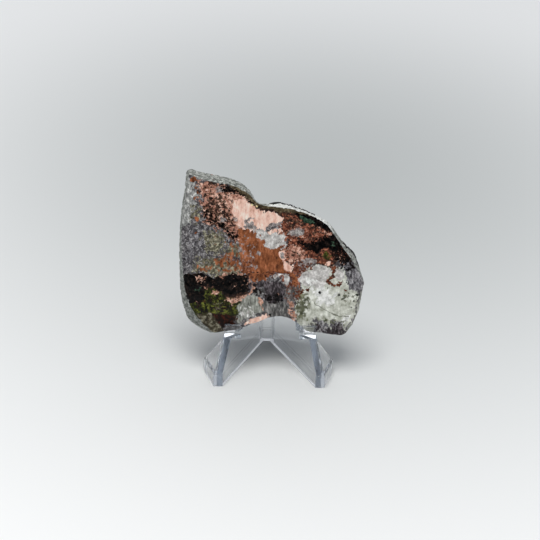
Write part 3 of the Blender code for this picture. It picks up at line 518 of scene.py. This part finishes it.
def slab_matrix():
    """Turns slab millimetres (right, up, into the stone) into the frame's millimetres."""
    across = Vector((1, 0, 0))
    upward = Vector((0, math.sin(SLAB_LEAN), math.cos(SLAB_LEAN)))
    inward = Vector((0, math.cos(SLAB_LEAN), -math.sin(SLAB_LEAN)))
    right = across * math.cos(SLAB_TURN) + upward * math.sin(SLAB_TURN)
    up = upward * math.cos(SLAB_TURN) - across * math.sin(SLAB_TURN)
    origin = SLAB_FOOT + across * SLAB_SHIFT[0] + upward * SLAB_SHIFT[1]
    turn = Matrix((right, up, inward)).transposed().to_4x4()
    return Matrix.Translation(origin) @ turn


SLAB = slab_matrix()


def slab_rings():
    """The outlines of the CAD slab's face and back in slab millimetres, point beside point."""
    mesh = bmesh.new()
    mesh.from_mesh(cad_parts["copper_slice"].data)
    bmesh.ops.remove_doubles(mesh, verts=mesh.verts, dist=1e-6)
    mesh.verts.ensure_lookup_table()
    to_slab = SLAB.inverted() @ Matrix.Scale(1 / MM, 4)
    places = np.array([to_slab @ v.co for v in mesh.verts])
    levels = (places[:, 2] < FLAT_TOLERANCE, places[:, 2] > SLAB_THICKNESS - FLAT_TOLERANCE)
    face, back = [walk_ring(mesh, set(np.flatnonzero(level).tolist()), places) for level in levels]
    mesh.free()
    gap = np.linalg.norm(back[:, :2] - face[0, :2], axis=1)
    return face, np.roll(back, -int(gap.argmin()), axis=0)


def walk_ring(mesh, members, places):
    """A flat's outline in order, anticlockwise as seen from the face."""
    def bounds_flat(edge):
        flats = [face for face in edge.link_faces if all(v.index in members for v in face.verts)]
        return len(flats) == 1

    order = [min(members)]
    while True:
        here = mesh.verts[order[-1]]
        beside = [e.other_vert(here).index for e in here.link_edges if bounds_flat(e)]
        steps = [i for i in beside if i in members and i not in order]
        if not steps:
            break
        order.append(steps[0])
    ring = places[order]
    x, y = ring[:, 0], ring[:, 1]
    area = (x * np.roll(y, -1) - y * np.roll(x, -1)).sum()
    return ring if area > 0 else ring[::-1]


def resample(face, back):
    """Both outlines at the same even steps along the face's own outline."""
    closed_face = np.vstack([face, face[:1]])
    closed_back = np.vstack([back, back[:1]])
    along = np.concatenate([[0], np.cumsum(np.linalg.norm(np.diff(closed_face, axis=0), axis=1))])
    count = round(along[-1] / RIM_STEP)
    stations = np.linspace(0, along[-1], count, endpoint=False)

    def at_stations(ring):
        return np.stack([np.interp(stations, along, ring[:, axis]) for axis in range(3)], axis=1)

    return at_stations(closed_face), at_stations(closed_back)


def turbulence(point, size, seed=0.0):
    """Layered noise about -1 to 1 at a point in mm, for lumps of that size."""
    place = Vector(point) / size + Vector((seed, 2 * seed, -seed))
    return noise.fractal(place, 0.9, 2.1, 4)


def rim_rows(face, back):
    """Rows of points from the face's edge to the back's, broken as rough stone but inside the CAD."""
    outward = np.roll(face, -1, axis=0)[:, :2] - np.roll(face, 1, axis=0)[:, :2]
    outward = np.stack([outward[:, 1], -outward[:, 0]], axis=1)
    outward /= np.linalg.norm(outward, axis=1)[:, None]
    arris = ARRIS / SLAB_THICKNESS
    shares = [0.0, *np.linspace(arris, 1 - arris, RIM_ROWS), 1.0]
    rows = []
    for share in shares:
        bulge = np.interp(share, [0, MIDDLE_DEPTH, 1], [0, MIDDLE_SHARE, 1])
        points = face + (back - face) * np.array([bulge, bulge, share])
        rough = np.interp(min(share, 1 - share), [0, 0.12], [RIM_CALM, 1])
        cuts = [rough * broken(point) + chip(point) for point in points]
        if share in (0.0, 1.0):
            cuts = [cut + ARRIS for cut in cuts]
        points[:, :2] -= outward * np.array(cuts)[:, None]
        rows.append(points)
    return rows


def broken(point):
    """How deep the rough side of the stone is broken in at a point."""
    lumps = 0.5 + 0.5 * turbulence(point, LUMP_SIZE) + 0.3 * turbulence(point, LUMP_SIZE / 3, 4.0)
    facets = abs(turbulence(point, FACET_SIZE, 9.0))
    return max(0.0, RIM_DEPTH * lumps + FACET_DEPTH * facets)


def chip(point):
    """How far the sharp edge is chipped back at a point, mostly hardly at all."""
    flat_place = (point[0], point[1], 0.0)
    return EDGE_CHIP * max(0.0, turbulence(flat_place, CHIP_SIZE, 7.0)) ** 1.5


def depth_inside(points, outline):
    """How far inside an outline each point is, in mm, and below nought outside it."""
    start = np.array(outline, float)
    run = np.roll(start, -1, axis=0) - start
    reach = points[:, None, :] - start[None, :, :]
    share = np.clip((reach * run).sum(2) / (run ** 2).sum(1), 0, 1)
    distance = np.linalg.norm(reach - share[:, :, None] * run, axis=2).min(axis=1)
    above = reach[:, :, 1] < 0
    next_above = above[:, np.r_[1:len(start), 0]]
    side = run[:, 0] * reach[:, :, 1] - run[:, 1] * reach[:, :, 0]
    crossed = (above != next_above) & ((side < 0) == (run[:, 1] > 0))
    inside = crossed.sum(axis=1) % 2 == 1
    return np.where(inside, distance, -distance)


def flat_points(outline, step):
    """Points spread evenly inside an outline, shaken a little so that no rows show."""
    low, high = outline.min(axis=0), outline.max(axis=0)
    rng = np.random.default_rng(GRAIN_SEED)
    across = np.arange(low[0], high[0], step)
    upward = np.arange(low[1], high[1], step * math.sqrt(0.75))
    grid = np.array([(x + (row % 2) * step / 2, y) for row, y in enumerate(upward) for x in across])
    grid += rng.uniform(-0.15, 0.15, grid.shape) * step
    return grid[depth_inside(grid, outline) > 0.55 * step]


def fill_flat(rim, step, depth, relief):
    """Fills a flat of the slab inside its rim: its inner points and triangles, numbered rim first."""
    inner = flat_points(rim[::3, :2], step)
    inner = inner[depth_inside(inner, rim[::2, :2]) > 0.5 * step]
    points = np.vstack([rim[:, :2], inner])
    ring = list(range(len(rim)))
    result = delaunay_2d_cdt([Vector(p) for p in points], [], [ring], 1, 1e-7)
    triangles = [[result[3][i][0] for i in face] for face in result[2]]
    heights = [depth + relief * turbulence((x, y, depth), RELIEF_SIZE) for x, y in inner]
    return np.column_stack([inner, heights]), triangles


def stone_shape():
    """Points in slab mm, faces, and what part of the stone each point belongs to."""
    face, back = resample(*slab_rings())
    rows = rim_rows(face, back)
    count = len(rows[0])
    points = [*rows]
    faces = []
    for row in range(len(rows) - 1):
        for i in range(count):
            after = (i + 1) % count
            near, far = row * count, (row + 1) * count
            faces.append([near + i, near + after, far + after, far + i])
    part = [np.full(count, FACE)] + [np.full(count, SIDE)] * RIM_ROWS + [np.full(count, BACK)]
    total = len(rows) * count
    last_row = total - count
    flats = ((rows[0], FACE, 0, FACE_RELIEF, 0.0), (rows[-1], BACK, last_row, BACK_RELIEF, SLAB_THICKNESS))
    for rim, name, rim_start, relief, depth in flats:
        inner, triangles = fill_flat(rim, GRAIN_STEP, depth, relief)
        for triangle in triangles:
            ids = [rim_start + i if i < count else total + i - count for i in triangle]
            faces.append(ids[::-1] if name == FACE else ids)
        points.append(inner)
        part.append(np.full(len(inner), name))
        total += len(inner)
    return np.vstack(points), faces, np.concatenate(part)


def wandered(points):
    """Each point's place in the pattern: the outlines wander, and drift from the face to the back."""
    noise.seed_set(WANDER_SEED)
    places = points[:, :2].copy()
    for i, point in enumerate(points):
        shift = Vector((0, 0, 0))
        for size, reach in WANDER:
            shift += reach * noise.noise_vector(Vector(point) / size)
        deep = float(point[2]) / SLAB_THICKNESS
        shift += DRIFT * deep * noise.noise_vector(Vector(point) / DRIFT_SIZE)
        places[i] += shift[:2]
    return places


def coverage(places, regions):
    """The share of each point that a mineral covers, from 0 to 1."""
    covered = np.zeros(len(places))
    for region in regions:
        outline = np.array(region.outline, float)
        reach = EDGE_SPREAD * region.edge
        low, high = outline.min(axis=0) - reach, outline.max(axis=0) + reach
        near = ((places > low) & (places < high)).all(axis=1)
        depth = depth_inside(places[near], outline)
        share = np.clip(0.5 + depth / (2 * reach), 0, 1)
        share = region.share * share ** 2 * (3 - 2 * share)
        covered[near] = np.maximum(covered[near], share)
    return covered


def spot_regions(spots, corners=7):
    """Small round spots as regions."""
    regions = []
    for x, y, radius in spots:
        turns = [2 * math.pi * i / corners for i in range(corners)]
        outline = [(x + radius * math.cos(t), y + radius * math.sin(t)) for t in turns]
        regions.append(Region(1.0, SPOT_EDGE, outline))
    return regions


def beside_crack(places):
    """How far above the healed crack each point is, in mm, and far from it past its ends."""
    crack = np.array(CRACK)
    height = places[:, 1] - np.interp(places[:, 0], crack[:, 0], crack[:, 1])
    past = (places[:, 0] < crack[0, 0]) | (places[:, 0] > crack[-1, 0])
    return np.where(past, 9.0, np.clip(height, -9.0, 9.0))


def add_values(mesh, name, values):
    mesh.attributes.new(name, "FLOAT", "POINT").data.foreach_set("value", values.astype(np.float32))


def build_stone():
    """The slab with its minerals as shares at each point."""
    points, faces, part = stone_shape()
    to_frame = Matrix.Scale(MM, 4) @ SLAB
    mesh = bpy.data.meshes.new("stone")
    mesh.from_pydata([to_frame @ Vector(p) for p in points], [], faces)
    mesh.validate()
    places = wandered(points)
    for name, regions in REGIONS.items():
        add_values(mesh, name, coverage(places, regions))
    for name, spots in SPOTS.items():
        add_values(mesh, name, coverage(points[:, :2], spot_regions(spots)) * (part == FACE))
    deep = points[:, 2] / SLAB_THICKNESS
    on_side = part == SIDE
    dark = coverage(points[:, :2], RIM_DARK) * on_side * np.clip((deep - RIM_DARK_FROM) / RIM_DARK_FADE, 0, 1)
    rind = np.where(on_side, RIND_SIDE, np.where(part == BACK, RIND_BACK, 0.0))
    add_values(mesh, "rim_dark", dark)
    # The painted highlight on the upper right of the rim, only on the side
    add_values(mesh, "rim_painted_highlight", coverage(points[:, :2], RIM_PAINTED_HIGHLIGHT) * on_side)
    add_values(mesh, "rind", rind * (1 - dark))
    add_values(mesh, "polish", np.where(part == FACE, 1.0, np.where(part == BACK, BACK_POLISH, 0.0)))
    add_values(mesh, "crack", beside_crack(places))
    place = mesh.attributes.new("place", "FLOAT_VECTOR", "POINT")
    place.data.foreach_set("vector", points.astype(np.float32).ravel())
    mesh.shade_smooth()
    stone = bpy.data.objects.new("copper_stone_slab", mesh)
    bpy.context.scene.collection.objects.link(stone)
    keep_arris_sharp(mesh)
    mesh.materials.append(stone_material())
    return stone


def keep_arris_sharp(mesh):
    """Shades the polished face and the back apart from the broken side."""
    mesh.set_sharp_from_angle(angle=SHARP_ANGLE)


class Tree:
    """The nodes of a material or of the world, added and joined one at a time."""

    def __init__(self, owner):
        self.owner = owner
        owner.use_nodes = True
        self.nodes = owner.node_tree.nodes
        self.links = owner.node_tree.links
        self.nodes.clear()

    def add(self, kind, inputs=None, **settings):
        node = self.nodes.new(kind)
        for name, value in settings.items():
            setattr(node, name, value)
        for name, value in (inputs or {}).items():
            if isinstance(value, bpy.types.NodeSocket):
                self.links.new(value, node.inputs[name])
            else:
                node.inputs[name].default_value = value
        return node

    def attribute(self, name, output="Fac"):
        return self.add("ShaderNodeAttribute", attribute_name=name).outputs[output]

    def math(self, operation, a, b=0.0):
        return self.add("ShaderNodeMath", {0: a, 1: b}, operation=operation).outputs[0]

    def fit(self, value, low, high, to_low=0.0, to_high=1.0, smooth=False):
        ends = {"Value": value, "From Min": low, "From Max": high, "To Min": to_low, "To Max": to_high}
        kind = "SMOOTHSTEP" if smooth else "LINEAR"
        return self.add("ShaderNodeMapRange", ends, interpolation_type=kind).outputs[0]

    def noise(self, place, size, detail=3.0, roughness=0.55, stretch=1.0, seed=0.0):
        """Noise spread over about 0 to 1, for marks of a size in the units of place."""
        scale = (1 / size, 1 / (size * stretch), 1 / size)
        spot = self.add("ShaderNodeMapping", {"Vector": place, "Scale": scale, "Location": (seed, -seed, 3 * seed)})
        inputs = {"Vector": spot.outputs[0], "Scale": 1.0, "Detail": detail, "Roughness": roughness}
        value = self.add("ShaderNodeTexNoise", inputs).outputs["Fac"]
        return self.fit(value, 0.32, 0.68)

    def ramp(self, value, colours):
        """Colours at even steps from value 0 to 1."""
        node = self.add("ShaderNodeValToRGB", {"Fac": value})
        stops = node.color_ramp.elements
        while len(stops) < len(colours):
            stops.new(0.5)
        for i, colour in enumerate(colours):
            stops[i].position = i / (len(colours) - 1)
            stops[i].color = linear(colour)
        return node.outputs["Color"]

    def mix(self, share, under, over):
        """Two colours mixed by a share."""
        node = self.add("ShaderNodeMix", data_type="RGBA", clamp_factor=True)
        colours = [s for s in node.inputs if s.type == "RGBA"]
        for socket, value in zip((node.inputs[0], *colours), (share, under, over)):
            if isinstance(value, bpy.types.NodeSocket):
                self.links.new(value, socket)
            else:
                socket.default_value = value
        return [s for s in node.outputs if s.type == "RGBA"][0]

    def blend(self, share, under, over):
        """Two numbers mixed by a share."""
        return self.add("ShaderNodeMix", {0: share, 2: under, 3: over}, data_type="FLOAT").outputs[0]

    def finish(self, inputs, volume=None):
        shader = self.add("ShaderNodeBsdfPrincipled", inputs)
        output = self.add("ShaderNodeOutputMaterial", {"Surface": shader.outputs[0]})
        if volume:
            self.links.new(volume, output.inputs["Volume"])
        return self.owner


def stone_material():
    """Every mineral painted over the last, its edge broken into islands, and the rough rind over all."""
    tree = Tree(bpy.data.materials.new("copper_stone"))
    place = tree.attribute("place", "Vector")
    polish = tree.attribute("polish")

    def colour_of(look, seed):
        tone = tree.noise(place, look.grain, 3.0, look.fine, look.stretch, seed)
        return tree.ramp(tone, (look.dark, look.middle, look.light))

    colour = colour_of(MATRIX, 0.0)
    metallic = 0.0
    roughness = MATRIX.roughness
    # Over the minerals go the grey rind, the painted highlight on the upper right of the rim, and the rim's darker
    # far part
    rims = [("rind", RIND), ("rim_painted_highlight", RIM_PAINTED_HIGHLIGHT_LOOK), ("rim_dark", LAYERS["black"])]
    for number, (name, look) in enumerate([*LAYERS.items(), *rims]):
        share = tree.attribute(name)
        islands = tree.noise(place, look.break_up, 3.0, 0.66, look.stretch ** 0.5, 11.3 + 7.1 * number)
        room = tree.math("MULTIPLY", share, 1 + 2 * look.edge)
        over = tree.math("SUBTRACT", tree.math("SUBTRACT", room, look.edge), islands)
        mask = tree.fit(over, -look.edge, look.edge, smooth=True)
        colour = tree.mix(mask, colour, colour_of(look, 3.7 * number))
        metallic = tree.blend(mask, metallic, look.metallic)
        roughness = tree.blend(mask, roughness, look.roughness)
    crack = tree.fit(tree.math("ABSOLUTE", tree.attribute("crack")), CRACK_WIDTH, 2.2 * CRACK_WIDTH, 0.9, 0.0)
    colour = tree.mix(crack, colour, linear(CRACK_COLOUR))

    dull = tree.math("SUBTRACT", 1.0, polish)
    roughness = tree.blend(dull, roughness, 0.82)
    metallic = tree.math("MULTIPLY", metallic, tree.fit(polish, 0.0, 1.0, 0.4, 1.0))
    grit = tree.noise(place, 0.35, 4.0, 0.65, seed=2.0)
    height = tree.math("MULTIPLY", grit, tree.fit(polish, 0.0, 1.0, 1.0, 0.04))
    bump = tree.add("ShaderNodeBump", {"Height": height, "Strength": 0.8, "Distance": 0.06 * MM})
    return tree.finish({"Base Color": colour, "Metallic": metallic, "Roughness": roughness,
                        "Specular IOR Level": STONE_GLOSS, "Normal": bump.outputs[0]})


def build_easel():
    """The moulded easel, the CAD's shape with its edges just eased."""
    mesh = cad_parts["easel"].data.copy()
    mesh.name = "moulded_easel"
    shape = bmesh.new()
    shape.from_mesh(mesh)
    bmesh.ops.remove_doubles(shape, verts=shape.verts, dist=1e-6)
    bmesh.ops.dissolve_limit(shape, angle_limit=math.radians(1), verts=shape.verts, edges=shape.edges)
    shape.to_mesh(mesh)
    shape.free()
    mesh.materials.clear()
    easel = bpy.data.objects.new("moulded_easel", mesh)
    bpy.context.scene.collection.objects.link(easel)
    ease = easel.modifiers.new("eased edges", "BEVEL")
    ease.width = EASED_EDGE * MM
    ease.segments = 2
    ease.limit_method = "ANGLE"
    ease.angle_limit = math.radians(30)
    mesh.shade_flat()
    mesh.materials.append(acrylic_material())
    return easel


def acrylic_material():
    """Clear acrylic, faintly blue-grey in its depth, the tint also standing in as painted shade for the dim room
    refracted in its cut edges, with the dullness of a moulded skin.
    """
    tree = Tree(bpy.data.materials.new("clear_acrylic"))
    place = tree.add("ShaderNodeTexCoord").outputs["Object"]
    marks = tree.noise(place, 3 * MM, 4.0, 0.6)
    roughness = tree.fit(marks, 0.0, 1.0, 0.05, 0.11)
    ripple = tree.add("ShaderNodeBump", {"Height": marks, "Strength": 0.1, "Distance": 0.05 * MM})
    shade_haze = {"Color": linear(ACRYLIC_SHADE_TINT), "Density": ACRYLIC_SHADE_DENSITY}
    volume = tree.add("ShaderNodeVolumeAbsorption", shade_haze).outputs[0]
    return tree.finish({"Base Color": (1, 1, 1, 1), "Transmission Weight": 1.0, "IOR": 1.49,
                        "Roughness": roughness, "Normal": ripple.outputs[0]}, volume)


def build_floor():
    """A wide pale floor, lit softly, a little darker in the middle distance as in the photo."""
    mesh = bpy.data.meshes.new("floor")
    shape = bmesh.new()
    bmesh.ops.create_circle(shape, cap_ends=True, segments=96, radius=FLOOR_RADIUS * MM)
    shape.to_mesh(mesh)
    shape.free()
    floor = bpy.data.objects.new("floor", mesh)
    floor.location.z = CAD_BOX[0][2] - FLOOR_GAP * MM
    bpy.context.scene.collection.objects.link(floor)
    tree = Tree(bpy.data.materials.new("floor_paper_painted_shade"))
    place = tree.add("ShaderNodeTexCoord").outputs["Object"]
    centre = Vector(FLOOR_PAINTED_SHADE_AT) * MM
    away = tree.add("ShaderNodeVectorMath", {0: place, 1: centre}, operation="SUBTRACT").outputs[0]
    oval = {0: away, 1: (FLOOR_PAINTED_SHADE_NARROW, 1.0, 1.0)}
    squashed = tree.add("ShaderNodeVectorMath", oval, operation="MULTIPLY").outputs[0]
    distance = tree.add("ShaderNodeVectorMath", {0: squashed}, operation="LENGTH").outputs["Value"]
    # Painted shade: the floor's colour runs from the shaded tone at the oval's middle to the pale one at its reach
    share = tree.fit(distance, 0.0, FLOOR_PAINTED_SHADE_REACH * MM, smooth=True)
    colour = tree.mix(share, linear(FLOOR_PAINTED_SHADE_COLOUR), linear(FLOOR_LIGHT))
    mesh.materials.append(tree.finish({"Base Color": colour, "Roughness": 0.9}))
    return floor


def add_lamp(name, place, aim, width, height, power, colour):
    light = bpy.data.lights.new(name, "AREA")
    light.shape = "RECTANGLE"
    light.size = width * MM
    light.size_y = height * MM
    light.energy = power
    light.color = linear(colour)[:3]
    lamp = bpy.data.objects.new(name, light)
    lamp.location = Vector(place) * MM
    lamp.rotation_euler = (Vector(aim) - Vector(place)).to_track_quat("-Z", "Y").to_euler()
    bpy.context.scene.collection.objects.link(lamp)


def light_scene():
    for lamp in LAMPS:
        add_lamp(*lamp)
    world = bpy.data.worlds.new("room")
    tree = Tree(world)
    direction = tree.add("ShaderNodeTexCoord").outputs["Generated"]
    towards = tree.add("ShaderNodeVectorMath", {0: direction, 1: ROOM_AXIS}, operation="DOT_PRODUCT")
    share = tree.fit(towards.outputs["Value"], ROOM_FROM, ROOM_TO, smooth=True)
    colour = tree.mix(share, linear(ROOM_DIM), linear(ROOM_BRIGHT))
    sky = tree.add("ShaderNodeBackground", {"Color": colour, "Strength": ROOM_STRENGTH})
    tree.add("ShaderNodeOutputWorld", {"Surface": sky.outputs[0]})
    bpy.context.scene.world = world
    bpy.context.scene.view_settings.view_transform = "Standard"


def let_light_through():
    """Enough bounces for the light that runs along inside the clear easel's walls."""
    paths = bpy.context.scene.cycles
    paths.max_bounces = LIGHT_BOUNCES
    paths.glossy_bounces = LIGHT_BOUNCES
    paths.transmission_bounces = LIGHT_BOUNCES


def add_camera():
    """The camera at the photo's own angle and distance."""
    rise, side = CAMERA_RISE, CAMERA_SIDE
    back = Vector((math.sin(side) * math.cos(rise), -math.cos(side) * math.cos(rise), math.sin(rise)))
    right = Vector((0, 0, 1)).cross(back).normalized()
    up = back.cross(right)
    turned_right = right * math.cos(CAMERA_ROLL) + up * math.sin(CAMERA_ROLL)
    turned_up = up * math.cos(CAMERA_ROLL) - right * math.sin(CAMERA_ROLL)
    camera = bpy.data.objects.new("camera", bpy.data.cameras.new("camera"))
    camera.data.lens = CAMERA_LENS
    camera.data.sensor_width = CAMERA_SENSOR
    camera.data.clip_start = 10 * MM
    turn = Matrix((turned_right, turned_up, back)).transposed().to_4x4()
    camera.matrix_world = Matrix.Translation((CAMERA_TARGET + back * CAMERA_DISTANCE) * MM) @ turn
    bpy.context.scene.collection.objects.link(camera)
    bpy.context.scene.camera = camera


stone = build_stone()
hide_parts("copper_slice")
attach(stone, "root")

easel = build_easel()
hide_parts("easel")
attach(easel, "root")

build_floor()
light_scene()
let_light_through()
add_camera()
